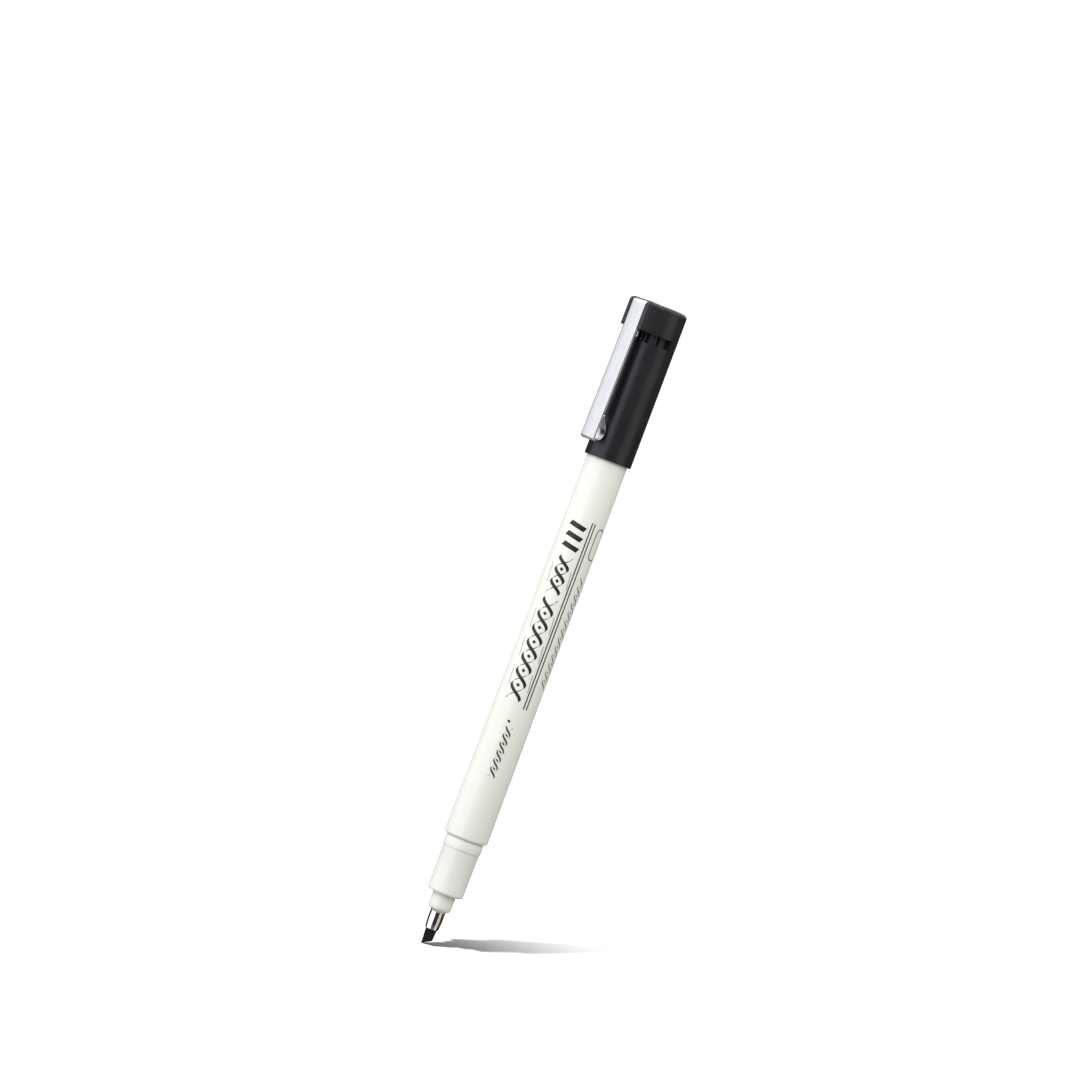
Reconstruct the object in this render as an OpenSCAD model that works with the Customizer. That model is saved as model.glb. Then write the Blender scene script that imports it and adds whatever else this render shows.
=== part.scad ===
// Calligraphy marker with a chisel nib. The cap is posted on the rear of the barrel.
// The pen's axis is Z, with the nib down. The origin is on the axis, level with the nib's
// lowest corner. The clip is on the -Y side of the cap.

/* [Nib] */
// Width of the nib where it leaves the ferrule
nib_w = 2.75; // [2.4:0.05:2.75]
// Width of the nib at its writing edge
nib_tip_w = 2.35; // [2:0.05:2.4]
// Thickness of the nib's slab
nib_t = 1.6; // [1:0.1:1.8]
// Slant of the writing edge
nib_slant = 27.5; // [0:0.5:35]
// How far the nib's long corner stands out of its ferrule
nib_out = 3.65; // [3:0.05:5]
// Turn of the broad face about the pen's axis
nib_turn = 45; // [-180:5:180]
// Diameter of the metal ferrule round the nib
ferrule_d = 3.4; // [3.3:0.05:3.5]
// Visible length of the ferrule
ferrule_out = 4.5; // [4:0.05:6]

/* [Grip] */
// Diameter of the nib holder
holder_d = 5.36; // [5.2:0.02:5.5]
// Visible length of the nib holder
holder_out = 3.75; // [3:0.05:5]
// Diameter at the front of the grip section
grip_front_d = 8.3; // [8.1:0.05:8.35]
// Diameter at the rear of the grip section, just before the seat ring
grip_rear_d = 8.4; // [8.35:0.05:8.6]
// Visible length of the grip section, with the seat ring
grip_len = 12.95; // [11:0.05:16]
// Diameter of the ring that the closed cap seats on
seat_d = 8.8; // [8.7:0.02:9]
// Length of the seat ring
seat_len = 2.5; // [2:0.1:3.5]

/* [Barrel] */
// Length of the barrel tube
barrel_len = 101.55; // [80:0.05:120]
// Diameter of the barrel at its front shoulder
barrel_front_d = 10.15; // [9.9:0.05:10.4]
// Diameter of the barrel at its rear end
barrel_rear_d = 9.2; // [9:0.02:9.24]
// Wall thickness of the barrel
barrel_wall = 0.8; // [0.7:0.05:0.85]

/* [Cap] */
// Outer diameter of the cap
cap_d = 10.8; // [10.7:0.05:10.9]
// Length of the cap
cap_len = 35.9; // [34:0.1:38]
// Bore of the cap, a running fit on the barrel where it is posted
cap_bore_d = 9.48; // [9.46:0.02:9.6]
// How far the posted cap covers the barrel
post_depth = 13.4; // [11:0.1:13.6]
// Height of the square head that holds the clip
head_h = 6.7; // [6:0.1:7]
// Width of the head
head_w = 6.9; // [6.2:0.1:7.6]
// Distance from the pen's axis to the head's flat face
head_reach = 8.2; // [8.1:0.05:8.4]
// Height of the window slot under the head
window_h = 2.15; // [1.8:0.05:2.4]

/* [Clip] */
// Width of the clip's strip
clip_w = 4.35; // [3.6:0.05:4.6]
// Sheet thickness of the clip
clip_t = 0.4; // [0.3:0.02:0.44]
// Distance from the pen's axis to the clip's outer face at the flex line
clip_root_c = 8.25; // [8.2:0.01:8.3]
// Distance from the pen's axis to the clip's outer face at the rolled end
clip_end_c = 8.7; // [8.65:0.05:9]
// Length of the free arm from the flex line to the rolled end's lowest point
clip_arm_len = 26.25; // [20:0.05:27]
// Outer radius of the rolled end's long curve
roll_r = 2.35; // [2:0.05:2.4]
// Depth of the arm's turned-in edges
flange_depth = 0.6; // [0.5:0.05:0.9]

/* [Hidden] */
$fn = 96;

// a gap that keeps two neighbouring pieces from sharing a face
gap = 0.02;
// how far a cut runs past the face it opens
past = 1;
arc_steps = 8;

// levels along the axis, from the nib's lowest corner up
ferrule_z = nib_out;
holder_z = ferrule_z + ferrule_out;
grip_z = holder_z + holder_out;
shoulder_z = grip_z + grip_len;
barrel_end_z = shoulder_z + barrel_len;
plug_flange_t = 0.6;
pen_end_z = barrel_end_z + plug_flange_t;
cap_z = pen_end_z - post_depth;
cap_top_z = cap_z + cap_len;
head_z = cap_top_z - head_h;
window_z = head_z - window_h;

// nib and ferrule
nib_tail_z = 33;
ferrule_r = ferrule_d / 2;
ferrule_mouth_r = 1.5;
ferrule_bore_r = 1.4;
ferrule_taper_len = 2.1;
ferrule_base_r = 2.1;
ferrule_tail_z = 14;

// nib holder and grip section
holder_front_r = 2.2;
holder_round = 1.1;
holder_stem_r = 2.45;
holder_bead_r = 2.95;
holder_bead_z = grip_z + 2.5;
holder_tail_z = 25;
holder_bore_r = 1.65;
grip_bore_r = 3.4;
grip_tail_len = 8;
grip_round = 0.65;
seat_ramp = 0.1;

// barrel and tail plug
barrel_round = 0.6;
barrel_front_r = barrel_front_d / 2;
barrel_rear_r = barrel_rear_d / 2;
bore_front_r = barrel_front_r - barrel_wall;
bore_rear_r = barrel_rear_r - barrel_wall;
plug_stem_len = 5;
plug_floor_t = 1;
plug_lead = [0.4, 0.8];
plug_inset = 0.05;
plug_round = 0.2;
plug_recess_r = 2.6;

// ink reservoir
reservoir_z = 29;
reservoir_top_z = pen_end_z - 8;
reservoir_r = 3.25;
sheath_t = 0.12;
sheath_short = 0.5;

// cap and its liner
cap_r = cap_d / 2;
cap_bore_r = cap_bore_d / 2;
cap_round = 1;
mouth_round = 0.2;
head_corner = 0.7;
window_past_axis = 0.4;
liner_z = pen_end_z + 0.5;
liner_top_z = head_z + 2.2;
liner_socket_r = 4.45;
liner_flange_t = 1;
liner_r = 3.6;
liner_bore_r = 3.05;
liner_seal_r = 2.82;
liner_seal_len = 1.6;
liner_bore_top_z = cap_z + shoulder_z + 2.65;
liner_end_t = 1.5;
rib_count = 12;
rib_w = 1.65;
rib_r = 4.38;

// clip
groove_w = clip_w + 0.1;
clip_inner_c = 6.75;
clip_bend_top_z = cap_top_z - 0.3;
curl_w = clip_w - 0.3;
curl_r = 0.8;
curl_h = 1.55;
curl_c = clip_inner_c + clip_t / 2;
curl_z = head_z - 0.2 - curl_h / 2;
wall_top_z = clip_bend_top_z - clip_t - 0.05;
toe_r = 0.75;
toe_c = clip_end_c - toe_r;
toe_z = head_z - clip_arm_len + toe_r;
roll_z = head_z - clip_arm_len + roll_r;
roll_lean = 35;
roll_leg_len = 2.85;
roll_steps = 28;
leg_tip_z = roll_z + roll_r * sin(roll_lean) + roll_leg_len * cos(roll_lean);
flange_start_z = window_z;
flange_end_z = leg_tip_z + 0.3;
flange_fade = 1.2;

function arc(x, y, r, from, to, steps = arc_steps) = [
    for (i = [0 : steps])
        let (a = from + (to - from) * i / steps) [x + r * cos(a), y + r * sin(a)]
];

function barrel_r(z) = barrel_front_r
    + (barrel_rear_r - barrel_front_r) * (z - shoulder_z) / barrel_len;

function bore_r(z) = barrel_r(z) - barrel_wall;

// the clip's outer face below the flex line, as a distance from the pen's axis
function arm_c(z) = clip_root_c + (clip_end_c - clip_root_c) * (head_z - z) / (head_z - toe_z);

// a square with two rounded corners on its +X side
module d_plate(reach, width, r) {
    translate([0, -width / 2]) square([reach - r, width]);
    translate([0, r - width / 2]) square([reach, width - 2 * r]);
    for (side = [-1, 1]) translate([reach - r, side * (width / 2 - r)]) circle(r);
}

// stands a profile drawn as (distance from the axis, height) on the clip's side
module on_clip_side(width) {
    rotate([0, 0, -90]) rotate([90, 0, 0]) linear_extrude(width, center = true) children();
}

// a profile in the plane across the pen, turned to the clip's side
module across(z, height) {
    translate([0, 0, z]) rotate([0, 0, -90]) linear_extrude(height) children();
}

// the slab of fibre, cut to a slanted edge, with its corners fitted to the ferrule's bore
module nib_slab(clear = 0) {
    half_w = nib_w / 2 + clear;
    rotate([0, 0, nib_turn]) intersection() {
        rotate([90, 0, 0]) linear_extrude(nib_t + 2 * clear, center = true) polygon([
            [-nib_tip_w / 2, 0],
            [nib_tip_w / 2, nib_tip_w * tan(nib_slant)],
            [half_w, ferrule_z],
            [half_w, nib_tail_z + clear],
            [-half_w, nib_tail_z + clear],
            [-half_w, ferrule_z]
        ]);
        cylinder(h = nib_tail_z + past, r = ferrule_bore_r - gap + clear);
    }
}

module nib() {
    color("#1c1a1c") nib_slab();
}

module ferrule() {
    lip = (ferrule_mouth_r - ferrule_bore_r) / 2;
    // the flare swings 60 degrees, which moves it out by half its radius
    flare_r = 2 * (ferrule_base_r - ferrule_r);
    color("#c9c2ba") rotate_extrude() polygon(concat(
        arc(ferrule_mouth_r - lip, ferrule_z + lip, lip, -180, 0),
        [[ferrule_r, ferrule_z + ferrule_taper_len]],
        arc(ferrule_r + flare_r, holder_z - flare_r * sin(60), flare_r, 180, 120),
        [
            [ferrule_base_r, holder_z],
            [ferrule_base_r, ferrule_tail_z],
            [ferrule_bore_r, ferrule_tail_z]
        ]
    ));
}

module nib_holder() {
    r = holder_d / 2;
    color("#f3f2e4") difference() {
        rotate_extrude() polygon(concat(
            [[0, holder_z]],
            [for (i = [0 : arc_steps]) let (a = 90 * i / arc_steps) [
                holder_front_r + (r - holder_front_r) * sin(a),
                holder_z + holder_round * (1 - cos(a))
            ]],
            [
                [r, grip_z - gap],
                [holder_stem_r, grip_z - gap],
                [holder_stem_r, holder_bead_z],
                [holder_bead_r, holder_bead_z],
                [holder_stem_r, holder_bead_z + 2 * (holder_bead_r - holder_stem_r)],
                [holder_stem_r, holder_tail_z],
                [0, holder_tail_z]
            ]
        ));
        translate([0, 0, holder_z - past])
            cylinder(h = ferrule_tail_z - holder_z + past, r = ferrule_base_r + gap);
        cylinder(h = holder_tail_z + past, r = holder_bore_r);
    }
}

module grip_section() {
    front_r = grip_front_d / 2;
    seat_z = shoulder_z - seat_len;
    tail_r = bore_r(shoulder_z + grip_tail_len) - gap;
    color("#f4f4f0") difference() {
        rotate_extrude() polygon(concat(
            [[0, grip_z]],
            arc(front_r - grip_round, grip_z + grip_round, grip_round, -90, 0),
            [
                [grip_rear_d / 2, seat_z - seat_ramp],
                [seat_d / 2, seat_z],
                [seat_d / 2, shoulder_z - gap],
                [tail_r, shoulder_z - gap],
                [tail_r, shoulder_z + grip_tail_len],
                [0, shoulder_z + grip_tail_len]
            ]
        ));
        translate([0, 0, grip_z - past])
            cylinder(h = holder_bead_z - grip_z + past, r = holder_stem_r + gap);
        translate([0, 0, holder_bead_z - gap])
            cylinder(h = grip_len + grip_tail_len, r = grip_bore_r);
    }
}

module barrel() {
    color("#fbfbf4") rotate_extrude() polygon(concat(
        [[bore_front_r, shoulder_z]],
        arc(barrel_front_r - barrel_round, shoulder_z + barrel_round, barrel_round, -90, 0),
        [
            [barrel_rear_r, barrel_end_z],
            [bore_rear_r, barrel_end_z]
        ]
    ));
}

module tail_plug() {
    stem_r = bore_r(barrel_end_z) - gap;
    stem_z = barrel_end_z - plug_stem_len;
    flange_r = barrel_rear_r - plug_inset;
    color("#f2f2ec") difference() {
        rotate_extrude() polygon(concat(
            [
                [0, stem_z],
                [stem_r - plug_lead.x, stem_z],
                [stem_r, stem_z + plug_lead.y],
                [stem_r, barrel_end_z + gap],
                [flange_r, barrel_end_z + gap]
            ],
            arc(flange_r - plug_round, pen_end_z - plug_round, plug_round, 0, 90),
            [[0, pen_end_z]]
        ));
        translate([0, 0, stem_z + plug_floor_t]) cylinder(h = plug_stem_len + past, r = plug_recess_r);
    }
}

module ink_reservoir() {
    color("#2a2624") difference() {
        translate([0, 0, reservoir_z]) cylinder(h = reservoir_top_z - reservoir_z, r = reservoir_r);
        nib_slab(gap);
    }
}

module reservoir_sheath() {
    bore = reservoir_r + gap;
    color("#dfe3e6") difference() {
        translate([0, 0, reservoir_z + sheath_short])
            cylinder(h = reservoir_top_z - reservoir_z - 2 * sheath_short, r = bore + sheath_t);
        translate([0, 0, reservoir_z]) cylinder(h = reservoir_top_z - reservoir_z, r = bore);
    }
}

module clip_seat() {
    // the outer groove, the dip over the wall, and the slot for the inner leg
    across(head_z - past, head_h + 2 * past)
        translate([clip_root_c - clip_t - gap, -groove_w / 2]) square([past, groove_w]);
    across(wall_top_z, past + head_h)
        translate([clip_inner_c - gap, -groove_w / 2]) square([2 * past, groove_w]);
    across(head_z - past, head_h + 2 * past)
        translate([clip_inner_c - gap, -groove_w / 2]) square([clip_t + 2 * gap, groove_w]);
}

module cap_shell() {
    color("#242428") difference() {
        union() {
            rotate_extrude() polygon(concat(
                [[0, cap_z]],
                arc(cap_r - mouth_round, cap_z + mouth_round, mouth_round, -90, 0),
                arc(cap_r - cap_round, cap_top_z - cap_round, cap_round, 0, 90),
                [[0, cap_top_z]]
            ));
            across(head_z, head_h) d_plate(head_reach, head_w, head_corner);
        }
        translate([0, 0, cap_z - past]) cylinder(h = liner_z - cap_z + past, r = cap_bore_r);
        translate([0, 0, cap_z]) cylinder(h = liner_top_z - cap_z + gap, r = liner_socket_r);
        across(window_z, window_h)
            translate([-window_past_axis, -cap_d]) square(2 * cap_d);
        clip_seat();
    }
}

module inner_cap() {
    color("#1b1b1d") difference() {
        union() {
            translate([0, 0, liner_z + gap]) cylinder(h = liner_flange_t, r = liner_socket_r - gap);
            translate([0, 0, liner_z + gap])
                cylinder(h = liner_bore_top_z + liner_end_t - liner_z, r = liner_r);
            for (i = [0 : rib_count - 1]) rotate([0, 0, (i + 0.5) * 360 / rib_count])
                translate([0, -rib_w / 2, liner_z + gap])
                    cube([rib_r, rib_w, liner_top_z - liner_z - gap]);
        }
        translate([0, 0, liner_z - past]) cylinder(h = liner_seal_len + 2 * past, r = liner_seal_r);
        translate([0, 0, liner_z + liner_seal_len])
            cylinder(h = liner_bore_top_z - liner_z - liner_seal_len, r = liner_bore_r);
    }
}

// the hairpin at the top of the clip: it straddles the head's wall, and its curled end
// catches under that wall, in the window
module clip_root() {
    bend_r = (clip_root_c - clip_inner_c) / 2;
    bend_c = clip_inner_c + bend_r;
    bend_z = clip_bend_top_z - bend_r;
    color("#dfe1ea") {
        on_clip_side(clip_w) {
            difference() {
                translate([bend_c, bend_z]) circle(bend_r);
                translate([bend_c, bend_z]) circle(bend_r - clip_t);
                translate([clip_inner_c - past, bend_z - 2 * bend_r])
                    square([2 * bend_r + 2 * past, 2 * bend_r]);
            }
            translate([clip_root_c - clip_t, head_z]) square([clip_t, bend_z - head_z]);
            translate([clip_inner_c, curl_z]) square([clip_t, bend_z - curl_z]);
        }
        on_clip_side(curl_w) translate([curl_c, curl_z]) scale([curl_r, curl_h / 2]) circle(1);
    }
}

// the sprung arm, rolled inward at its end so that it rides over a pocket's edge
module clip_arm() {
    // from the long curve's centre: across to the leg's outer face, and along the leg
    across_leg = [-cos(roll_lean), sin(roll_lean)];
    leg_end = [toe_c, roll_z] + roll_leg_len * [sin(roll_lean), cos(roll_lean)];
    color("#dfe1ea") {
        on_clip_side(clip_w) polygon(concat(
            [[clip_root_c, head_z]],
            arc(toe_c, toe_z, toe_r, 0, -80),
            arc(toe_c, roll_z, roll_r, -90, -180 - roll_lean, roll_steps),
            [leg_end + roll_r * across_leg, leg_end + (roll_r - clip_t) * across_leg],
            arc(toe_c, roll_z, roll_r - clip_t, -180 - roll_lean, -90, roll_steps),
            arc(toe_c, toe_z, toe_r - clip_t, -80, 0),
            [[clip_root_c - clip_t, head_z]]
        ));
        for (side = [-1, 1]) translate([side * (clip_w - clip_t) / 2, 0, 0]) on_clip_side(clip_t)
            polygon([
                [clip_root_c, head_z],
                [arm_c(flange_end_z), flange_end_z],
                [arm_c(flange_end_z + flange_fade) - flange_depth, flange_end_z + flange_fade],
                [arm_c(flange_start_z) - flange_depth, flange_start_z],
                [clip_root_c - clip_t, head_z]
            ]);
    }
}

nib();
ferrule();
nib_holder();
grip_section();
barrel();
tail_plug();
ink_reservoir();
reservoir_sheath();
cap_shell();
inner_cap();
clip_root();
clip_arm();
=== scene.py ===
import math

import bmesh
import bpy
from mathutils import Matrix, Vector


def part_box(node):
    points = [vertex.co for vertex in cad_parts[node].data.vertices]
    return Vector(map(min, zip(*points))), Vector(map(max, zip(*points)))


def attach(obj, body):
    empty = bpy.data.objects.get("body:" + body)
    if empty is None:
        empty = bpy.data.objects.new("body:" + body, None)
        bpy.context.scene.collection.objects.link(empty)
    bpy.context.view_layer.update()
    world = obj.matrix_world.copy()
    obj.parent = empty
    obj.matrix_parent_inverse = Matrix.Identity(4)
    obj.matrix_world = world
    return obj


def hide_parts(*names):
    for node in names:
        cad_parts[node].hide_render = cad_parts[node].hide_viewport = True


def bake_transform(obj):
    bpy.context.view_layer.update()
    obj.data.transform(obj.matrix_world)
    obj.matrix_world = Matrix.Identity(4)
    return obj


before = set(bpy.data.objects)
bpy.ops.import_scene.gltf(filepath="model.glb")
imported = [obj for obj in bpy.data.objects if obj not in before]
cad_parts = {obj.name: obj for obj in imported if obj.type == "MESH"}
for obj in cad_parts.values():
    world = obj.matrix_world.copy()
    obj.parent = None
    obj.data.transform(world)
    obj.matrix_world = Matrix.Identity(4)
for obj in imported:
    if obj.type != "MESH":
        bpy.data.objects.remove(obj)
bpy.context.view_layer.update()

# Lengths here are millimetres. Meshes are scaled to metres as they are made.
MM = 0.001
TURN = 2 * math.pi
# pieces that are pressed together stay this far apart, so that no two faces coincide
GAP = 0.02


def node_box(node):
    """A CAD node's lowest and highest corners, in millimetres."""
    low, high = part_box(node)
    return low / MM, high / MM


# ---------------------------------------------------------------- sizes from the frame

NIB_HIGH = node_box("nib")[1]
FERRULE_LOW, FERRULE_HIGH = node_box("ferrule")
HOLDER_LOW, HOLDER_HIGH = node_box("nib_holder")
GRIP_LOW, GRIP_HIGH = node_box("grip_section")
BARREL_LOW, BARREL_HIGH = node_box("barrel")
PLUG_LOW, PLUG_HIGH = node_box("tail_plug")
CAP_LOW, CAP_HIGH = node_box("cap_shell")
LINER_LOW, LINER_HIGH = node_box("inner_cap")
ROOT_LOW, ROOT_HIGH = node_box("clip_root")
ARM_LOW, ARM_HIGH = node_box("clip_arm")

FERRULE_Z = FERRULE_LOW.z
HOLDER_Z = HOLDER_LOW.z
GRIP_Z = GRIP_LOW.z
SHOULDER_Z = BARREL_LOW.z
BARREL_END_Z = BARREL_HIGH.z
PEN_END_Z = PLUG_HIGH.z
CAP_Z = CAP_LOW.z
CAP_TOP_Z = CAP_HIGH.z
FLEX_Z = ARM_HIGH.z
LINER_Z = LINER_LOW.z

NIB_W = 2.75
NIB_TIP_W = 2.35
NIB_T = 1.6
NIB_SLANT = math.radians(27.5)
NIB_TURN = math.radians(45)
NIB_CORNER = 0.22
FERRULE_R = 1.7
FERRULE_MOUTH_R = 1.5
FERRULE_BORE_R = 1.4
FERRULE_TAPER = 2.1
FERRULE_BASE_R = FERRULE_HIGH.x
NOSE_R = 2.68
NOSE_FRONT_R = 2.2
NOSE_ROUND = 1.1
STEM_R = 2.45
GRIP_FRONT_R = 4.15
GRIP_REAR_R = 4.2
SEAT_R = GRIP_HIGH.x
SEAT_LEN = 2.5
GRIP_ROUND = 0.65
GRIP_TAIL_R = 4.15
BARREL_FRONT_R = BARREL_HIGH.x
BARREL_REAR_R = 4.6
BARREL_WALL = 0.8
BARREL_ROUND = 0.6
CAP_R = CAP_HIGH.x - 0.002  # the frame's cap is a polygon, and this circle stays inside it
CAP_BORE_R = 4.74
CAP_SOCKET_R = LINER_HIGH.x + GAP
CAP_ROUND = 0.95
HEAD_Z = FLEX_Z
HEAD_HALF_W = 3.45
HEAD_CORNER = 0.7
HEAD_REACH = -CAP_LOW.y
WINDOW_H = 2.15
WINDOW_PAST_AXIS = 0.4
CAP_MOUTH_BEVEL = 0.15
CAP_SOFT_EDGE = 0.07
CLIP_W = ARM_HIGH.x - ARM_LOW.x
CLIP_T = 0.4
CLIP_ROOT_C = -ROOT_LOW.y
CLIP_END_C = -ARM_LOW.y
CURL_R = 0.8
CURL_H = 1.55
CURL_W = CLIP_W - 0.3
CURL_Z = ROOT_LOW.z + CURL_H / 2
CURL_C = -ROOT_HIGH.y + CURL_R
CLIP_INNER_C = CURL_C - CLIP_T / 2
TOE_R = 0.75
ROLL_R = 2.35
ROLL_LEAN = 35
ROLL_LEG = 2.85
FLANGE_DEPTH = 0.58
FLANGE_FADE = 1.2
LINER_TUBE_R = 3.6
LINER_BORE_R = 3.05
LINER_RIBS = 12
LINER_RIB_W = 1.65
SEAL_R = 2.84
SEAL_LEN = 1.6


def barrel_r(z):
    """The barrel's outer radius at height z."""
    share = (z - SHOULDER_Z) / (BARREL_END_Z - SHOULDER_Z)
    return BARREL_FRONT_R + (BARREL_REAR_R - BARREL_FRONT_R) * share


# ---------------------------------------------------------------- mesh helpers


def add_object(name, data):
    """Puts data, which is a mesh, a light or a camera, into the scene."""
    obj = bpy.data.objects.new(name, data)
    bpy.context.scene.collection.objects.link(obj)
    return obj


def plain_mesh(name, verts, faces, material):
    """A mesh from points in millimetres."""
    mesh = bpy.data.meshes.new(name)
    mesh.from_pydata([Vector(v) * MM for v in verts], [], faces)
    mesh.materials.append(material)
    return mesh


def new_object(name, verts, faces, material, smooth_angle=35):
    """A closed piece from points in millimetres. Edges sharper than smooth_angle stay crisp."""
    obj = add_object(name, plain_mesh(name, verts, faces, material))
    tidy(obj, smooth_angle)
    return obj


def tidy(obj, smooth_angle=35):
    """Merges doubled points, points the faces outward and marks the crisp edges."""
    bm = bmesh.new()
    bm.from_mesh(obj.data)
    bmesh.ops.remove_doubles(bm, verts=bm.verts, dist=1e-7)
    bmesh.ops.recalc_face_normals(bm, faces=bm.faces)
    limit = math.radians(smooth_angle)
    for edge in bm.edges:
        two = len(edge.link_faces) == 2
        edge.smooth = not two or edge.calc_face_angle() < limit
    for face in bm.faces:
        face.smooth = True
    bm.to_mesh(obj.data)
    bm.free()


def arc(x, y, r, start, end, steps=8):
    """Points on an arc in a profile, with the angles in degrees."""
    angles = [math.radians(start + (end - start) * i / steps) for i in range(steps + 1)]
    return [(x + r * math.cos(a), y + r * math.sin(a)) for a in angles]


def lathe(name, outline, material, segments=128, smooth_angle=35):
    """Turns a closed outline of (radius, height) points about the pen's axis."""
    verts, faces = [], []
    count = len(outline)
    for k in range(segments):
        a = TURN * k / segments
        verts += [(r * math.cos(a), r * math.sin(a), z) for r, z in outline]
    for k in range(segments):
        here, there = k * count, (k + 1) % segments * count
        for i in range(count):
            j = (i + 1) % count
            corners = [here + i, there + i, there + j, here + j]
            on_axis_i = outline[i][0] < 1e-9
            on_axis_j = outline[j][0] < 1e-9
            if on_axis_i and on_axis_j:
                continue
            if on_axis_i:
                corners = [here + i, there + j, here + j]
            elif on_axis_j:
                corners = [here + i, there + i, here + j]
            faces.append(corners)
    return new_object(name, verts, faces, material, smooth_angle)


def loft(name, rings, material, smooth_angle=35):
    """Joins closed rings of points, all of one length, into a capped tube."""
    count = len(rings[0])
    last = (len(rings) - 1) * count
    verts = [p for ring in rings for p in ring]
    faces = []
    for here in range(0, last, count):
        there = here + count
        for i in range(count):
            j = (i + 1) % count
            faces.append([here + i, here + j, there + j, there + i])
    faces.append(list(range(count)))
    faces.append([last + i for i in reversed(range(count))])
    return new_object(name, verts, faces, material, smooth_angle)


def cut(obj, *tools):
    """Takes the tools' volume away from obj, and removes the tools."""
    for tool in tools:
        step = obj.modifiers.new("cut", "BOOLEAN")
        step.operation = "DIFFERENCE"
        step.solver = "EXACT"
        step.object = tool
    bpy.context.view_layer.update()
    graph = bpy.context.evaluated_depsgraph_get()
    mesh = bpy.data.meshes.new_from_object(obj.evaluated_get(graph))
    obj.modifiers.clear()
    obj.data = mesh
    for tool in tools:
        bpy.data.objects.remove(tool)


def block(x0, x1, y0, y1, z0, z1):
    """A box-shaped cutting tool, between millimetre limits."""
    corners = [(x, y, z) for z in (z0, z1) for x, y in ((x0, y0), (x1, y0), (x1, y1), (x0, y1))]
    sides = [[i, (i + 1) % 4, (i + 1) % 4 + 4, i + 4] for i in range(4)]
    return new_object("tool", corners, sides + [[3, 2, 1, 0], [4, 5, 6, 7]], plain_tool)


def soften(obj, width):
    """Rounds the crisp edges by width millimetres."""
    bevel = obj.modifiers.new("soften", "BEVEL")
    bevel.limit_method = "ANGLE"
    bevel.angle_limit = math.radians(40)
    bevel.width = width * MM
    bevel.segments = 2
    bevel.use_clamp_overlap = True
    bevel.harden_normals = True


# ---------------------------------------------------------------- materials


def fill_ramp(ramp, stops):
    """Sets a colour ramp's stops from (position, colour), where a colour may be one grey number."""
    elements = ramp.color_ramp.elements
    while len(elements) < len(stops):
        elements.new(0.5)
    for element, (position, colour) in zip(elements, stops):
        element.position = position
        rgb = colour if isinstance(colour, tuple) else (colour,) * 3
        element.color = (*rgb, 1)


class Shader:
    """A Principled material with short calls for the procedural nodes that feed it."""

    def __init__(self, name, **constants):
        self.material = bpy.data.materials.new(name)
        self.material.use_nodes = True
        self.nodes = self.material.node_tree.nodes
        self.links = self.material.node_tree.links
        self.surface = self.nodes["Principled BSDF"]
        for socket, value in constants.items():
            self.surface.inputs[socket.replace("_", " ")].default_value = value
        self.place = self.nodes.new("ShaderNodeTexCoord").outputs["Object"]

    def node(self, kind, **settings):
        made = self.nodes.new(kind)
        for key, value in settings.items():
            setattr(made, key, value)
        return made

    def link(self, output, target):
        self.links.new(output, target)

    def noise(self, scale, stretch=(1, 1, 1), detail=3, roughness=0.5):
        """Noise in the object's metres, scaled per axis. scale is in features per millimetre."""
        mapping = self.node("ShaderNodeMapping")
        mapping.inputs["Scale"].default_value = [s / MM for s in stretch]
        self.link(self.place, mapping.inputs["Vector"])
        noise = self.node("ShaderNodeTexNoise")
        noise.inputs["Scale"].default_value = scale
        noise.inputs["Detail"].default_value = detail
        noise.inputs["Roughness"].default_value = roughness
        self.link(mapping.outputs["Vector"], noise.inputs["Vector"])
        return noise.outputs["Fac"]

    def ramp(self, factor, *stops):
        ramp = self.node("ShaderNodeValToRGB")
        fill_ramp(ramp, stops)
        self.link(factor, ramp.inputs["Fac"])
        return ramp.outputs["Color"]

    def colour(self, factor, *stops):
        self.link(self.ramp(factor, *stops), self.surface.inputs["Base Color"])

    def roughness(self, factor, *stops):
        self.link(self.ramp(factor, *stops), self.surface.inputs["Roughness"])

    def bump(self, factor, depth, strength=1.0):
        """Adds a bump of depth millimetres to the ones already there."""
        bump = self.node("ShaderNodeBump")
        bump.inputs["Strength"].default_value = strength
        bump.inputs["Distance"].default_value = depth * MM
        self.link(factor, bump.inputs["Height"])
        target = self.surface.inputs["Normal"]
        if target.is_linked:
            self.link(target.links[0].from_socket, bump.inputs["Normal"])
        self.link(bump.outputs["Normal"], target)


def white_plastic(name, tint, shade, rough=(0.28, 0.38)):
    """Injection-moulded polypropylene: faint flow marks, fine orange peel and a soft inner glow."""
    s = Shader(name, IOR=1.49, Subsurface_Weight=0.12, Subsurface_Scale=0.0012)
    s.surface.inputs["Subsurface Radius"].default_value = (1.0, 0.85, 0.7)
    s.colour(s.noise(0.25, (1, 1, 0.2), 2), (0.3, shade), (0.7, tint))
    s.roughness(s.noise(0.9, detail=4), (0.3, rough[0]), (0.7, rough[1]))
    s.bump(s.noise(2.2, (1, 1, 0.6), 3), 0.004, 0.5)
    s.bump(s.noise(14, detail=2), 0.0012, 0.5)
    return s.material


def black_plastic(name, tint, shade, rough):
    """Semi-gloss black polystyrene, with the fine waviness and rub marks of a handled cap."""
    s = Shader(name, IOR=1.5, Specular_Tint=(0.86, 0.89, 1.0, 1.0))
    s.colour(s.noise(0.4, (1, 1, 0.4), 3), (0.3, shade), (0.7, tint))
    s.roughness(s.noise(1.3, (1, 1, 0.35), 5, 0.6), (0.32, rough[0]), (0.72, rough[1]))
    s.bump(s.noise(1.1, (1, 1, 0.3), 2), 0.006, 0.4)
    s.bump(s.noise(18, detail=3), 0.0012, 0.5)
    return s.material


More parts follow.
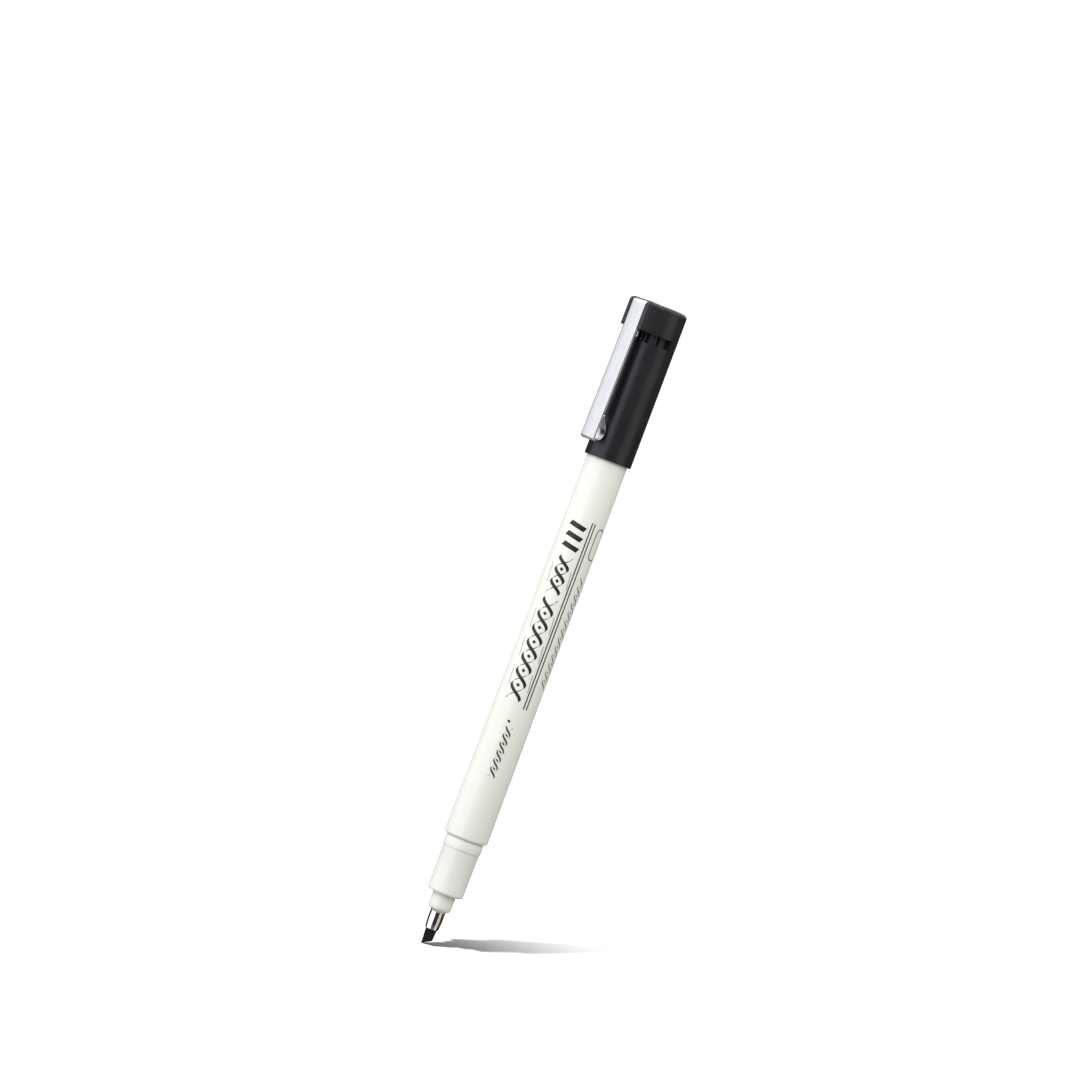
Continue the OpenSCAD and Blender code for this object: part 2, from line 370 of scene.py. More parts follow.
def steel(name, tint, shade, rough, grain, scratch=0.0015):
    """Drawn or stamped steel, with the grain running along the pen."""
    s = Shader(name, Metallic=1.0)
    s.colour(s.noise(0.8, (1, 1, 0.25), 3), (0.3, shade), (0.7, tint))
    s.roughness(s.noise(5, (1, 1, grain), 4, 0.6), (0.3, rough[0]), (0.7, rough[1]))
    s.bump(s.noise(9, (1, 1, grain), 3, 0.6), scratch, 0.6)
    return s.material


def fibre(name, tint, shade, along=0.06):
    """Bundled fibre soaked in ink: strands along the pen, duller where they have dried."""
    s = Shader(name, IOR=1.4)
    strands = s.noise(9, (1, 1, along), 4, 0.65)
    s.colour(strands, (0.35, shade), (0.75, tint))
    s.roughness(strands, (0.3, 0.55), (0.7, 0.85))
    s.bump(strands, 0.03, 0.8)
    return s.material


def print_ink(name, tint):
    """Screen-printed ink: black, slightly glossier than felt, with a little mottle."""
    s = Shader(name, IOR=1.45)
    mottle = s.noise(3, detail=4)
    s.colour(mottle, (0.3, tint), (0.75, tuple(c * 1.8 + 0.004 for c in tint)))
    s.roughness(mottle, (0.3, 0.35), (0.7, 0.5))
    s.bump(s.noise(11, detail=2), 0.001, 0.4)
    return s.material


plain_tool = bpy.data.materials.new("cutting_tool")
barrel_white = white_plastic("barrel_white", (0.95, 0.95, 0.89), (0.93, 0.93, 0.865))
grip_white = white_plastic("grip_white", (0.95, 0.95, 0.91), (0.93, 0.93, 0.885))
holder_ivory = white_plastic("holder_ivory", (0.95, 0.95, 0.86), (0.93, 0.93, 0.83))
cap_black = black_plastic("cap_black", (0.018, 0.018, 0.021), (0.012, 0.012, 0.015), (0.28, 0.4))
liner_black = black_plastic("liner_black", (0.02, 0.018, 0.02), (0.013, 0.012, 0.013), (0.4, 0.55))
clip_steel = steel("clip_steel", (0.6, 0.61, 0.65), (0.56, 0.57, 0.61), (0.16, 0.24), 0.03)
ferrule_metal = steel("ferrule_metal", (0.86, 0.82, 0.77), (0.78, 0.73, 0.68), (0.04, 0.09), 0.05, 0.0005)
nib_fibre = fibre("nib_fibre", (0.009, 0.007, 0.007), (0.002, 0.0015, 0.002))
ink_fibre = fibre("ink_fibre", (0.03, 0.026, 0.026), (0.012, 0.01, 0.01), 0.02)
sheath_film = white_plastic("sheath_film", (0.75, 0.78, 0.8), (0.7, 0.73, 0.75), (0.2, 0.3))
pad_ink = print_ink("pad_ink", (0.012, 0.012, 0.014))

for node, material in (("ink_reservoir", ink_fibre), ("reservoir_sheath", sheath_film)):
    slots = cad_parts[node].data.materials
    slots.clear()
    slots.append(material)


# ---------------------------------------------------------------- the pen


def on_pen(obj, node):
    """Hands a piece over to the pen's body, in place of the CAD node."""
    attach(obj, "pen")
    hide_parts(node)


def build_nib():
    """A slab of fibre with worn corners, tapered to its edge and cut on the slant."""
    half_w, half_t, reach = NIB_W / 2, NIB_T / 2, FERRULE_BORE_R - GAP
    outline = []
    for sx, sy, start in ((1, 1, 0), (-1, 1, 90), (-1, -1, 180), (1, -1, 270)):
        centre = (sx * (half_w - NIB_CORNER), sy * (half_t - NIB_CORNER))
        outline += arc(*centre, NIB_CORNER, start, start + 90, 6)
    # the slab's corners are pressed in where they meet the ferrule's bore
    fitted = []
    for x, y in outline:
        pull = min(1, reach / math.hypot(x, y))
        fitted.append((x * pull, y * pull))
    slope, tip_half = math.tan(NIB_SLANT), NIB_TIP_W / 2

    def ring(x_half, y_half):
        return [(x * x_half / half_w, y * y_half / half_t) for x, y in fitted]

    rings = []
    # the writing edge is rounded over by (inset, rise) steps
    for inset, rise in ((0.1, 0.0), (0.04, 0.02), (0.01, 0.05), (0.0, 0.1)):
        edge = ring(tip_half - inset, half_t - inset)
        rings.append([(x, y, (x + tip_half) * slope + rise) for x, y in edge])
    for z in (FERRULE_Z, FERRULE_HIGH.z, NIB_HIGH.z):
        rings.append([(x, y, z) for x, y in ring(half_w, half_t)])
    obj = loft("nib_body", rings, nib_fibre, smooth_angle=50)
    obj.data.transform(Matrix.Rotation(NIB_TURN, 4, "Z"))
    on_pen(obj, "nib")


def build_ferrule():
    """Drawn tube, crimped in at its rolled mouth and flared where it goes into its holder."""
    lip = (FERRULE_MOUTH_R - FERRULE_BORE_R) / 2
    flare = 2 * (FERRULE_BASE_R - FERRULE_R)
    outline = arc(FERRULE_MOUTH_R - lip, FERRULE_Z + lip, lip, -180, 0, 10)
    # the taper eases into the straight tube
    steps = 8
    for i in range(1, steps + 1):
        t = i / steps
        outline.append((
            FERRULE_MOUTH_R + (FERRULE_R - FERRULE_MOUTH_R) * math.sin(t * math.pi / 2),
            FERRULE_Z + lip + (FERRULE_TAPER - lip) * t,
        ))
    flare_z = HOLDER_Z - flare * math.sin(math.radians(60))
    outline += arc(FERRULE_R + flare, flare_z, flare, 180, 120, 10)
    outline += [
        (FERRULE_BASE_R, HOLDER_Z),
        (FERRULE_BASE_R, FERRULE_HIGH.z),
        (FERRULE_BORE_R, FERRULE_HIGH.z),
    ]
    on_pen(lathe("ferrule_tube", outline, ferrule_metal), "ferrule")


def build_nib_holder():
    """The round nose that carries the ferrule."""
    bore, edge = FERRULE_BASE_R + GAP, 0.08
    outline = [(bore, HOLDER_Z + edge), (bore + edge / 2, HOLDER_Z)]
    steps = 12
    for i in range(steps + 1):
        a = math.radians(90 * i / steps)
        outline.append((
            NOSE_FRONT_R + (NOSE_R - NOSE_FRONT_R) * math.sin(a),
            HOLDER_Z + NOSE_ROUND * (1 - math.cos(a)),
        ))
    outline += [
        (NOSE_R, GRIP_Z - edge),
        (NOSE_R - 0.06, GRIP_Z - GAP),
        (STEM_R, GRIP_Z - GAP),
        (STEM_R, HOLDER_HIGH.z),
        (bore, HOLDER_HIGH.z),
    ]
    on_pen(lathe("nib_holder_nose", outline, holder_ivory), "nib_holder")


def build_grip():
    """The grip section, with the ring that the closed cap seats on."""
    seat_z = SHOULDER_Z - SEAT_LEN
    bore, edge = STEM_R + GAP, 0.12
    outline = [(bore, GRIP_Z + edge), (bore + edge, GRIP_Z)]
    outline += arc(GRIP_FRONT_R - GRIP_ROUND, GRIP_Z + GRIP_ROUND, GRIP_ROUND, -90, 0, 10)
    outline += [
        (GRIP_REAR_R, seat_z - 0.16),
        (GRIP_REAR_R + 0.02, seat_z - 0.1),
        (SEAT_R - 0.03, seat_z - 0.02),
        (SEAT_R, seat_z + 0.05),
        # the shadow groove between the seat ring and the barrel
        (SEAT_R, SHOULDER_Z - 0.38),
        (SEAT_R - 0.04, SHOULDER_Z - 0.3),
        (GRIP_TAIL_R + 0.03, SHOULDER_Z - 0.2),
        (GRIP_TAIL_R, SHOULDER_Z - 0.02),
        (GRIP_TAIL_R, GRIP_HIGH.z),
        (bore, GRIP_HIGH.z),
    ]
    on_pen(lathe("grip_body", outline, grip_white), "grip_section")


def build_barrel():
    """The long tapered tube."""
    front, rear = BARREL_ROUND, 0.12
    outline = arc(BARREL_FRONT_R - front, SHOULDER_Z + front, front, -90, 0, 10)
    outline += arc(BARREL_REAR_R - rear, BARREL_END_Z - rear, rear, 0, 90, 4)
    outline += [
        (BARREL_REAR_R - BARREL_WALL, BARREL_END_Z),
        (BARREL_FRONT_R - BARREL_WALL, SHOULDER_Z),
    ]
    on_pen(lathe("barrel_tube", outline, barrel_white, 160), "barrel")


def build_tail_plug():
    """The cupped plug that closes the barrel."""
    stem_r, recess_r, edge, floor = BARREL_REAR_R - BARREL_WALL - GAP, 2.6, 0.2, 1
    flange_r = BARREL_REAR_R - 0.05
    seat_z = BARREL_END_Z + GAP
    outline = [
        (0, PLUG_LOW.z),
        (stem_r - 0.4, PLUG_LOW.z),
        (stem_r, PLUG_LOW.z + 0.8),
        (stem_r, seat_z),
        (flange_r, seat_z),
    ]
    outline += arc(flange_r - edge, PEN_END_Z - edge, edge, 0, 90, 6)
    outline += arc(recess_r + edge, PEN_END_Z - edge, edge, 90, 180, 6)
    outline += [(recess_r, PLUG_LOW.z + floor), (0, PLUG_LOW.z + floor)]
    on_pen(lathe("tail_plug_cup", outline, grip_white), "tail_plug")


# ---------------------------------------------------------------- the cap


def on_cap(obj, node):
    """Hands a piece over to the cap's body, in place of the CAD node."""
    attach(obj, "cap")
    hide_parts(node)


def join_angle(half_w, r):
    """Degrees round from +X to where the square head's side meets the cap's circle."""
    return math.degrees(math.acos(half_w / r))


def head_outline(inset=0):
    """The head seen from above, drawn in by inset: the cap's circle, squared off on the clip's
    side. The first list is the round back and the second is the square front."""
    r, half_w, reach = CAP_R - inset, HEAD_HALF_W - inset, HEAD_REACH - inset
    corner = max(HEAD_CORNER - inset * 0.6, 0.1)
    join = join_angle(half_w, r)
    back = arc(0, 0, r, -join, 180 + join, 110)
    front = arc(-half_w + corner, -reach + corner, corner, 180, 270, 8)
    front += arc(half_w - corner, -reach + corner, corner, 270, 360, 8)
    return back, front


def cap_body():
    """The cap's solid outside: a cylinder with the square head standing on it."""
    back, front = head_outline()
    join = join_angle(HEAD_HALF_W, CAP_R)
    bow = arc(0, 0, CAP_R, 180 + join, 360 - join, 40)[1:-1]
    tube, head = back + bow, back + front
    mouth_r = CAP_R - CAP_MOUTH_BEVEL
    mouth = [(x * mouth_r / CAP_R, y * mouth_r / CAP_R) for x, y in tube]
    lower = [(mouth, CAP_Z), (tube, CAP_Z + CAP_MOUTH_BEVEL), (tube, HEAD_Z)]
    upper = [(head, HEAD_Z)]
    steps = 8
    for i in range(steps + 1):
        a = math.radians(90 * i / steps)
        rim_back, rim_front = head_outline(CAP_ROUND * (1 - math.cos(a)))
        upper.append((rim_back + rim_front, CAP_TOP_Z - CAP_ROUND * (1 - math.sin(a))))
    verts, faces = [], []

    def stack(levels):
        starts = []
        for ring, z in levels:
            starts.append(len(verts))
            verts.extend((x, y, z) for x, y in ring)
        count = len(levels[0][0])
        for low, high in zip(starts, starts[1:]):
            for i in range(count):
                j = (i + 1) % count
                faces.append([low + i, low + j, high + j, high + i])
        return starts

    tube_starts, head_starts = stack(lower), stack(upper)
    faces.append(list(reversed(range(len(tube)))))
    faces.append([head_starts[-1] + i for i in range(len(head))])
    # the ledge under the square front closes the gap between the two outlines
    last = len(back) - 1
    ledge = [tube_starts[-1] + last + i for i in range(len(bow) + 1)] + [tube_starts[-1]]
    ledge += [head_starts[0] + len(head) - 1 - i for i in range(len(front))]
    faces.append(ledge)
    return new_object("cap_outer", verts, faces, cap_black)


def build_cap():
    """The cap, bored out, with the clip's groove and slot and the window under the head."""
    obj = cap_body()
    # the tools reach this far past the cap, and stand this far off the strip
    past, off = 1, 0.03
    bore = [
        (0, CAP_Z - past),
        (CAP_BORE_R, CAP_Z - past),
        (CAP_BORE_R, LINER_Z - GAP),
        (CAP_SOCKET_R, LINER_Z - GAP),
        (CAP_SOCKET_R, LINER_HIGH.z + GAP),
        (0, LINER_HIGH.z + GAP),
    ]
    half = CLIP_W / 2 + 2 * off
    wall_top = ROOT_HIGH.z - CLIP_T - 0.05
    far = CAP_R + 5
    leg_in, leg_out = -CLIP_INNER_C + off, -CLIP_INNER_C - CLIP_T - off
    low, high = HEAD_Z - past, CAP_TOP_Z + past
    cut(
        obj,
        lathe("tool_bore", bore, plain_tool, 128),
        block(-far, far, -far, WINDOW_PAST_AXIS, HEAD_Z - WINDOW_H, HEAD_Z + GAP),
        block(-half, half, -far, -(CLIP_ROOT_C - CLIP_T - off), low, high),
        block(-half, half, -far, leg_in, wall_top, high),
        block(-half, half, leg_out, leg_in, low, high),
    )
    tidy(obj)
    soften(obj, CAP_SOFT_EDGE)
    obj.name = "cap_body"
    on_cap(obj, "cap_shell")


def build_inner_cap():
    """The ribbed liner that seals over the nib holder. Its ribs show in the cap's window."""
    rib_r = LINER_HIGH.x - 0.05
    edge = rib_r - 0.08
    root = math.asin(LINER_RIB_W / 2 / LINER_TUBE_R)
    tip = math.asin(LINER_RIB_W / 2 / rib_r)
    soft = 0.12 / rib_r
    outline = []
    for k in range(LINER_RIBS):
        middle = TURN * (k + 0.5) / LINER_RIBS
        outline += [
            (LINER_TUBE_R, middle - root),
            (edge, middle - tip),
            (rib_r, middle - tip + soft),
            (rib_r, middle),
            (rib_r, middle + tip - soft),
            (edge, middle + tip),
            (LINER_TUBE_R, middle + root),
            (LINER_TUBE_R, middle + TURN / LINER_RIBS / 2),
        ]
    top = LINER_HIGH.z
    rings = [[(r * math.cos(a), r * math.sin(a), z) for r, a in outline] for z in (LINER_Z, top)]
    obj = loft("liner", rings, liner_black, smooth_angle=40)
    # the sealed bore is closed by a 1 mm floor, and a blind cup lightens the liner's top
    past, closed_z, floor_t = 1, top - 4.2, 1
    cup_r = LINER_TUBE_R - 0.5
    cavity = [
        (0, LINER_Z - past),
        (SEAL_R, LINER_Z - past),
        (SEAL_R, LINER_Z + SEAL_LEN),
        (LINER_BORE_R, LINER_Z + SEAL_LEN + 0.2),
        (LINER_BORE_R, closed_z),
        (0, closed_z),
    ]
    cup = [(0, closed_z + floor_t), (cup_r, closed_z + floor_t), (cup_r, top + past), (0, top + past)]
    cut(obj, lathe("tool_bore", cavity, plain_tool, 96), lathe("tool_cup", cup, plain_tool, 96))
    tidy(obj, 40)
    obj.name = "inner_cap_liner"
    on_cap(obj, "inner_cap")


# ---------------------------------------------------------------- the clip


def clip_section(flange):
    """The strip's closed cross-section as (across, inward): a channel with rounded shoulders."""
    half, bend, lip, thin = CLIP_W / 2, 0.3, 0.05, 0.002
    depth = max(flange, CLIP_T + thin)
    inner_bend = min(0.12, depth - CLIP_T)
    # over the shoulder, down the flange, round its lip, and back up inside
    stretch = [(x, bend - y) for x, y in arc(half - bend, 0, bend, 90, 0, 5)]
    stretch += [
        (half, depth - lip),
        (half - lip, depth),
        (half - CLIP_T + lip, depth),
        (half - CLIP_T, depth - lip * 0.5),
        (half - CLIP_T, CLIP_T + inner_bend * 0.5),
        (half - CLIP_T - inner_bend, CLIP_T),
    ]
    return [(-x, y) for x, y in reversed(stretch)] + stretch


def clip_path():
    """Stations along the outer face: (distance from axis, height, normal angle, flange depth).
    The normal angle is 0 where the face looks away from the axis and 90 where it looks up."""
    stations = []

    def bend(hub_c, hub_z, r, start, turn, steps, first=1):
        """Stations round a bend, with the angles in degrees."""
        for i in range(first, steps + 1):
            a = start + turn * i / steps
            across, up = math.cos(math.radians(a)), math.sin(math.radians(a))
            stations.append((hub_c + r * across, hub_z + r * up, a, 0))

    # the inner leg, the hairpin and the outer leg
    bend_r = (CLIP_ROOT_C - CLIP_INNER_C) / 2
    bend_z = ROOT_HIGH.z - bend_r
    for z in (CURL_Z, CURL_Z + 0.6, CURL_Z + 1.5, bend_z - 2, bend_z - 0.4):
        stations.append((CLIP_INNER_C, z, 180, 0))
    bend(CLIP_INNER_C + bend_r, bend_z, bend_r, 180, -180, 16, first=0)
    for z in (bend_z - 0.8, bend_z - 3, HEAD_Z + 0.3, HEAD_Z):
        stations.append((CLIP_ROOT_C, z, 0, 0))
    toe_c, toe_z = CLIP_END_C - TOE_R, ARM_LOW.z + TOE_R
    roll_z = ARM_LOW.z + ROLL_R
    lean = math.radians(ROLL_LEAN)
    leg_tip_z = roll_z + ROLL_R * math.sin(lean) + ROLL_LEG * math.cos(lean)
    slope = math.degrees(math.atan((CLIP_END_C - CLIP_ROOT_C) / (HEAD_Z - toe_z)))
    # the arm leans outward, and its flanges fade in and out
    steps = 60
    for i in range(1, steps):
        t = i / steps
        z = HEAD_Z + (toe_z - HEAD_Z) * t
        c = CLIP_ROOT_C + (CLIP_END_C - CLIP_ROOT_C) * t
        start = (HEAD_Z - WINDOW_H - z) / FLANGE_FADE
        stop = (z - leg_tip_z - 0.3) / FLANGE_FADE
        share = min(1, max(0, min(start, stop)))
        depth = CLIP_T + (FLANGE_DEPTH - CLIP_T) * share * share * (3 - 2 * share)
        stations.append((c, z, slope, depth))
    # the toe, the roll inward and the leg that leads back up
    bend(toe_c, toe_z, TOE_R, 0, -90, 12)
    bend(toe_c, roll_z, ROLL_R, -90, -90 - ROLL_LEAN, 30)
    c, z, a, _ = stations[-1]
    for share in (0.25, 0.5, 0.75, 0.93, 0.98, 1):
        length = ROLL_LEG * share
        stations.append((c + length * math.sin(lean), z + length * math.cos(lean), a, 0))
    return stations


def build_clip():
    """One bent strip: hairpin in the head, sprung arm, and the rolled end."""
    rings = []
    for c, z, angle, flange in clip_path():
        a = math.radians(angle)
        rings.append([
            (across, -(c - inward * math.cos(a)), z - inward * math.sin(a))
            for across, inward in clip_section(flange)
        ])
    obj = loft("pocket_clip", rings, clip_steel, smooth_angle=40)
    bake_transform(obj)
    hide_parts("clip_root", "clip_arm")


def build_curl():
    """The curled end of the clip's inner leg. It catches under the head's wall, in the window."""
    rings = []
    steps = 12
    for i in range(steps + 1):
        # from just past the ellipse's lowest point to just short of its highest
        a = math.pi * (0.04 + 0.92 * i / steps)
        bulge = math.sin(a) ** 0.6
        soft = CURL_R * bulge * 0.98
        half = CURL_W / 2 - 0.25 * (1 - bulge)
        z = CURL_Z - CURL_H / 2 * math.cos(a)
        ring = []
        for side, start in ((1, 90), (-1, 270)):
            hub = side * (half - soft)
            ring += [(x, -c, z) for x, c in arc(hub, CURL_C, soft, start, start - 180, 12)]
        rings.append(ring)
    on_cap(loft("clip_curl", rings, clip_steel, smooth_angle=50), "clip_root")


# ---------------------------------------------------------------- the print on the barrel

PRINT_LIFT = 0.012
PEN_ANGLE = math.radians(38)
VIEWER_SIDE = math.radians(-45)


def on_barrel(name, strips):
    """Lays strips on the barrel. A strip is two equally long lists of (height, degrees round from
    the middle of the view), and is cut finely enough to follow the curve."""
    across = 6
    verts, faces = [], []
    for left, right in strips:
        start = len(verts)
        for (z0, a0), (z1, a1) in zip(left, right):
            for i in range(across + 1):
                t = i / across
                z, a = z0 + (z1 - z0) * t, VIEWER_SIDE + math.radians(a0 + (a1 - a0) * t)
                r = barrel_r(z) + PRINT_LIFT
                verts.append((r * math.cos(a), r * math.sin(a), z))
        row = across + 1
        for k in range(len(left) - 1):
            for i in range(across):
                p = start + k * row + i
                faces.append([p, p + 1, p + row + 1, p + row])
    mesh = plain_mesh(name, verts, faces, pad_ink)
    for polygon in mesh.polygons:
        polygon.use_smooth = True
    obj = add_object(name, mesh)
    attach(obj, "pen")


def degrees_of(arc_mm, z):
    """Degrees round the barrel for a length of arc at height z."""
    return math.degrees(arc_mm / barrel_r(z))


def pen_stroke(points, nib, nib_angle):
    """The strip that a broad edge leaves along points of (z, around), both in millimetres. The
    edge is nib millimetres wide and held at nib_angle."""
    dz, dy = nib / 2 * math.cos(nib_angle), nib / 2 * math.sin(nib_angle)
    left = [(z - dz, degrees_of(y - dy, z)) for z, y in points]
    right = [(z + dz, degrees_of(y + dy, z)) for z, y in points]
    return left, right


def polyline(start, end, steps=4):
    """Evenly spaced points of (z, around) between two of them."""
    (z0, y0), (z1, y1) = start, end
    return [(z0 + (z1 - z0) * i / steps, y0 + (y1 - y0) * i / steps) for i in range(steps + 1)]


def braid(z0, z1, turns, middle, reach, nib):
    """Two broad-pen waves twisted round each other, with a lozenge in every eye."""
    strokes = []
    steps = 18 * turns
    for side in (-1, 1):
        wave = [
            (z0 + (z1 - z0) * i / steps, middle + side * reach * math.cos(math.pi * turns * i / steps))
            for i in range(steps + 1)
        ]
        strokes.append(pen_stroke(wave, nib, PEN_ANGLE))
    pitch = (z1 - z0) / turns
    half_z, half_y = 0.22, 0.26
    for k in range(1, turns):
        z = z0 + pitch * k
        lozenge = polyline((z - half_z, middle + half_y), (z + half_z, middle - half_y))
        strokes.append(pen_stroke(lozenge, nib * 0.85, PEN_ANGLE))
    return strokes


def frame_strip(z0, z1, a0, a1, corner, line):
    """A closed rounded rectangle of even width. a0 and a1 are degrees."""
    outer, inner = [], []
    for hub_z, hub_a, start, sign in (
        (z1 - corner, a1, 0, -1), (z1 - corner, a0, 90, 1),
        (z0 + corner, a0, 180, 1), (z0 + corner, a1, 270, -1),
    ):
        hub = hub_a + sign * degrees_of(corner, hub_z)
        for i in range(9):
            t = math.radians(start + 90 * i / 8)
            # t runs from around (+) over up the barrel (+z) to around (-) and back down
            for points, r in ((outer, corner), (inner, corner - line)):
                points.append((hub_z + r * math.sin(t), hub + degrees_of(r * math.cos(t), hub_z)))
    outer.append(outer[0])
    inner.append(inner[0])
    return outer, inner


def build_print():
    """Generic printed ornament in place of the pen's lettering: braids, bars, rules and a frame.
    Heights are above the barrel's shoulder, and places round the barrel are from mid-view."""
    middle = -1.1
    base = SHOULDER_Z + 32.6
    ornament = braid(base, base + 23.4, 7, middle, 1.55, 0.72)
    ornament += braid(base + 24.8, base + 33.2, 3, middle, 1.4, 0.72)
    for z in (base + 5, base + 11.7, base + 18.4, base + 29):
        # a fine flourish over the braid and one under it
        over = polyline((z - 2.2, middle - 2.3), (z + 2.2, middle - 2.6), 6)
        under = polyline((z - 2.6, middle + 2.6), (z + 1.4, middle + 2.3), 6)
        ornament += [pen_stroke(line, 0.28, 0.3) for line in (over, under)]
    on_barrel("print_ornament", ornament)

    bars = []
    for k in range(3):
        z = base + 35.7 + 2.4 * k
        bar = polyline((z - 0.4, middle + 1.9), (z + 0.4, middle - 1.9), 10)
        bars.append(pen_stroke(bar, 1.15, 0.5))
    on_barrel("print_sample", bars)

    rules = []
    top, bottom, half = SHOULDER_Z + 74.8, SHOULDER_Z + 31.3, 1.7
    for centre in (22.5, 31):
        line = polyline((bottom, centre), (top, centre), 24)
        rules.append(([(z, a - half) for z, a in line], [(z, a + half) for z, a in line]))
    on_barrel("print_rules", rules)

    small = braid(SHOULDER_Z + 36.6, SHOULDER_Z + 62.6, 13, 4.95, 0.85, 0.24)
    on_barrel("print_small_braid", small)

    marks = braid(SHOULDER_Z + 15, SHOULDER_Z + 26.6, 6, 0.45, 0.72, 0.36)
    dot = SHOULDER_Z + 27.6
    marks.append(pen_stroke(polyline((dot, 0.1), (dot + 0.4, -0.4)), 0.5, PEN_ANGLE))
    on_barrel("print_marks", marks)

    on_barrel("print_frame", [frame_strip(SHOULDER_Z + 66.8, SHOULDER_Z + 74.1, 45, 78, 1.2, 0.22)])


# ---------------------------------------------------------------- floor, light and camera


ROLL = math.radians(20.6)
CAMERA_DISTANCE = 950
CAMERA_LIFT = math.radians(0.5)
VIEW_W = 237.4
SENSOR = 36
AIM_UP = 92.1
AIM_RIGHT = -7.74

TOWARD = Vector((math.cos(VIEWER_SIDE), math.sin(VIEWER_SIDE), 0))
RIGHT = Vector((-TOWARD.y, TOWARD.x, 0))
UP = Vector((0, 0, 1))

# the floor's glow grows with distance from the nib, from nothing to this much
FLOOR_HALF = 3000
GLOW_NEAR = -12
GLOW_FAR = 150
GLOW_MOST = 0.84

# soft boxes and the low sun: degrees round to the right of the camera, degrees above level
PANEL_DISTANCE = 600
PANEL_LIFT = 4
PANEL_AIM_UP = 75
SUN_TURN = -17.5
SUN_LIFT = 22
SUN_WIDTH = 2.4
SUN_STRENGTH = 79


def build_stage():
    """A white table top, level with the nib's point. Its far side glows, so the shadow fades."""
    s = Shader("floor_white", Specular_IOR_Level=0.0, Roughness=1.0)
    s.colour(s.noise(0.004), (0.3, 0.098), (0.7, 0.102))
    reach = s.node("ShaderNodeVectorMath", operation="LENGTH")
    s.link(s.place, reach.inputs[0])
    glow = s.node("ShaderNodeMapRange", interpolation_type="SMOOTHSTEP")
    glow.inputs["From Min"].default_value = GLOW_NEAR * MM
    glow.inputs["From Max"].default_value = GLOW_FAR * MM
    glow.inputs["To Max"].default_value = GLOW_MOST
    s.link(reach.outputs["Value"], glow.inputs["Value"])
    s.surface.inputs["Emission Color"].default_value = (1, 1, 1, 1)
    s.link(glow.outputs["Result"], s.surface.inputs["Emission Strength"])
    far = FLOOR_HALF
    corners = [(-far, -far, 0), (far, -far, 0), (far, far, 0), (-far, far, 0)]
    obj = add_object("floor", plain_mesh("floor", corners, [[0, 1, 2, 3]], s.material))
    # the pen is lit by the soft boxes alone, so the floor adds no light to it
    obj.visible_diffuse = False
    obj.visible_glossy = False
    return obj


def build_camera():
    """Almost level with the cap's mouth, rolled so that the pen leans to the right."""
    aim = RIGHT * AIM_RIGHT + UP * AIM_UP
    back = (TOWARD * math.cos(CAMERA_LIFT) + UP * math.sin(CAMERA_LIFT)).normalized()
    over = back.cross(RIGHT)
    x_axis = RIGHT * math.cos(ROLL) + over * math.sin(ROLL)
    y_axis = over * math.cos(ROLL) - RIGHT * math.sin(ROLL)
    data = bpy.data.cameras.new("camera")
    data.sensor_width = SENSOR
    data.lens = SENSOR * CAMERA_DISTANCE / VIEW_W
    data.clip_start = 0.01
    data.clip_end = 20
    camera = add_object("camera", data)
    rotation = Matrix((x_axis, y_axis, back)).transposed().to_4x4()
    camera.matrix_world = Matrix.Translation((aim + back * CAMERA_DISTANCE) * MM) @ rotation
    bpy.context.scene.camera = camera


def add_light(name, kind, energy, turn, lift):
    """A light that shines from turn and lift, in degrees, and the direction back towards it."""
    t, e = math.radians(turn), math.radians(lift)
    out = (TOWARD * math.cos(t) + RIGHT * math.sin(t)) * math.cos(e) + UP * math.sin(e)
    data = bpy.data.lights.new(name, kind)
    data.energy = energy
    light = add_object(name, data)
    light.rotation_euler = out.to_track_quat("Z", "Y").to_euler()
    return light, out


def panel(name, turn, width, height, watts, colour):
    """A soft box, width by height millimetres, aimed at the middle of the pen."""
    light, out = add_light(name, "AREA", watts, turn, PANEL_LIFT)
    light.location = (UP * PANEL_AIM_UP + out * PANEL_DISTANCE) * MM
    light.data.shape = "RECTANGLE"
    light.data.size, light.data.size_y = width * MM, height * MM
    light.data.color = colour


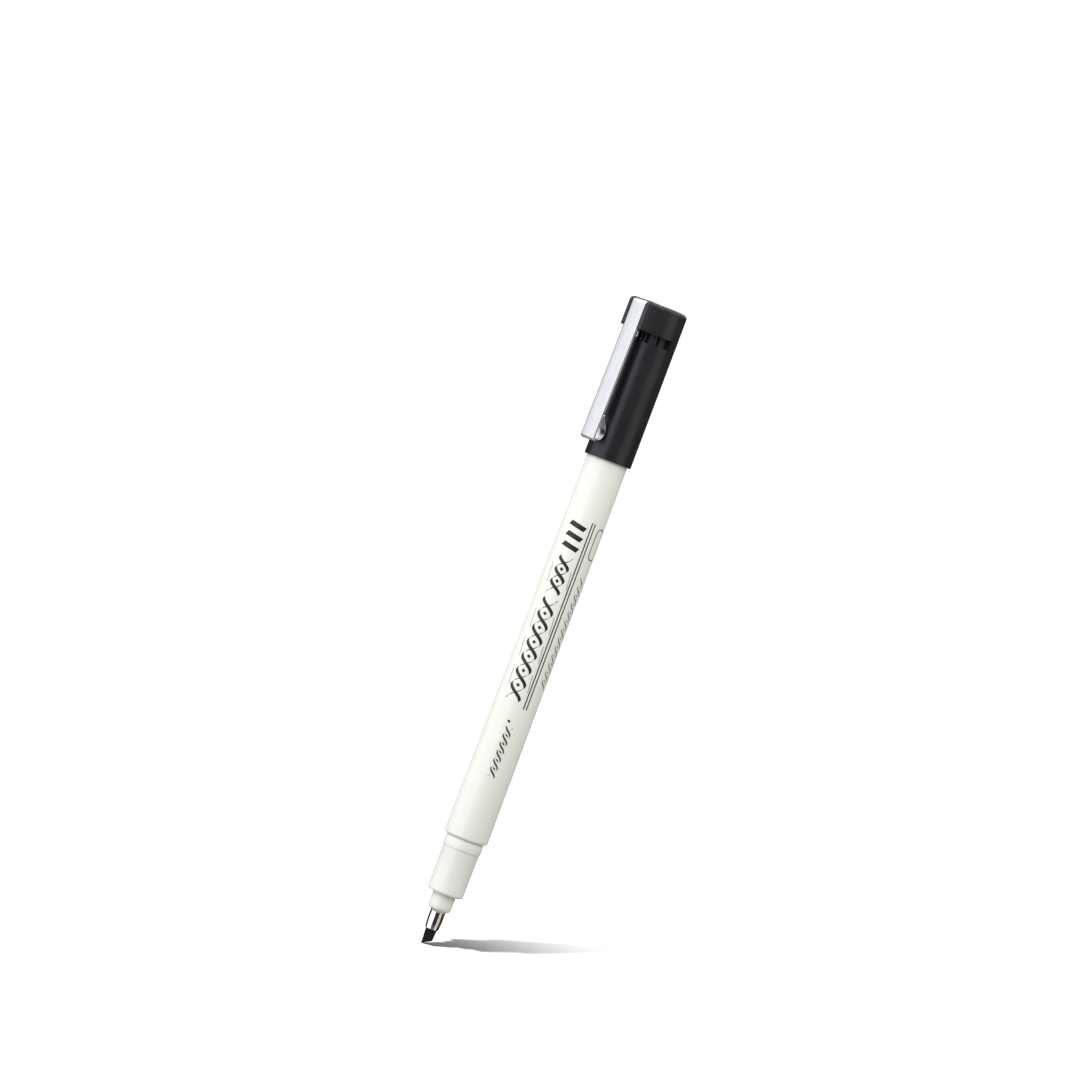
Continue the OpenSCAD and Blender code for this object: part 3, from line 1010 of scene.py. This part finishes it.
def floor_sun(floor):
    """A low sun, which only falls on the floor, so that the pen casts a narrow shadow there."""
    light, _ = add_light("floor_sun", "SUN", SUN_STRENGTH, SUN_TURN, SUN_LIFT)
    light.data.angle = math.radians(SUN_WIDTH)
    lit = bpy.data.collections.new("lit_by_floor_sun")
    lit.objects.link(floor)
    light.light_linking.receiver_collection = lit


def build_world():
    """White to the camera. Everything else sees a room that is bright overhead and dim at eye level."""
    world = bpy.data.worlds.new("studio")
    world.use_nodes = True
    nodes, links = world.node_tree.nodes, world.node_tree.links
    split = nodes.new("ShaderNodeSeparateXYZ")
    links.new(nodes.new("ShaderNodeTexCoord").outputs["Generated"], split.inputs[0])
    # the ramp runs from straight down to straight up
    height = nodes.new("ShaderNodeMapRange")
    height.inputs["From Min"].default_value = -1
    links.new(split.outputs["Z"], height.inputs["Value"])
    shade = nodes.new("ShaderNodeValToRGB")
    fill_ramp(shade, ((0.0, 0.5), (0.2, 0.36), (0.36, 0.04), (0.56, 0.04), (0.8, 1.5), (1.0, 1.7)))
    links.new(height.outputs["Result"], shade.inputs["Fac"])
    room = nodes["Background"]
    links.new(shade.outputs["Color"], room.inputs["Color"])
    room.inputs["Strength"].default_value = 1.0
    backdrop = nodes.new("ShaderNodeBackground")
    backdrop.inputs["Color"].default_value = (1, 1, 1, 1)
    backdrop.inputs["Strength"].default_value = 1.1
    choice = nodes.new("ShaderNodeMixShader")
    links.new(nodes.new("ShaderNodeLightPath").outputs["Is Camera Ray"], choice.inputs[0])
    links.new(room.outputs["Background"], choice.inputs[1])
    links.new(backdrop.outputs["Background"], choice.inputs[2])
    links.new(choice.outputs["Shader"], nodes["World Output"].inputs["Surface"])
    bpy.context.scene.world = world


def build_lights(floor):
    """A wide white box on the left, a weaker warm one on the right, the floor's sun and the room."""
    panel("key", -60, 1000, 1100, 4.95, (1.0, 1.0, 1.0))
    panel("card", 60, 480, 1000, 1.05, (1.0, 0.95, 0.78))
    floor_sun(floor)
    build_world()


# ---------------------------------------------------------------- build everything

build_nib()
build_ferrule()
build_nib_holder()
build_grip()
build_barrel()
build_tail_plug()
build_cap()
build_inner_cap()
build_clip()
build_curl()
build_print()
build_lights(build_stage())
build_camera()
bpy.context.scene.view_settings.view_transform = "Standard"
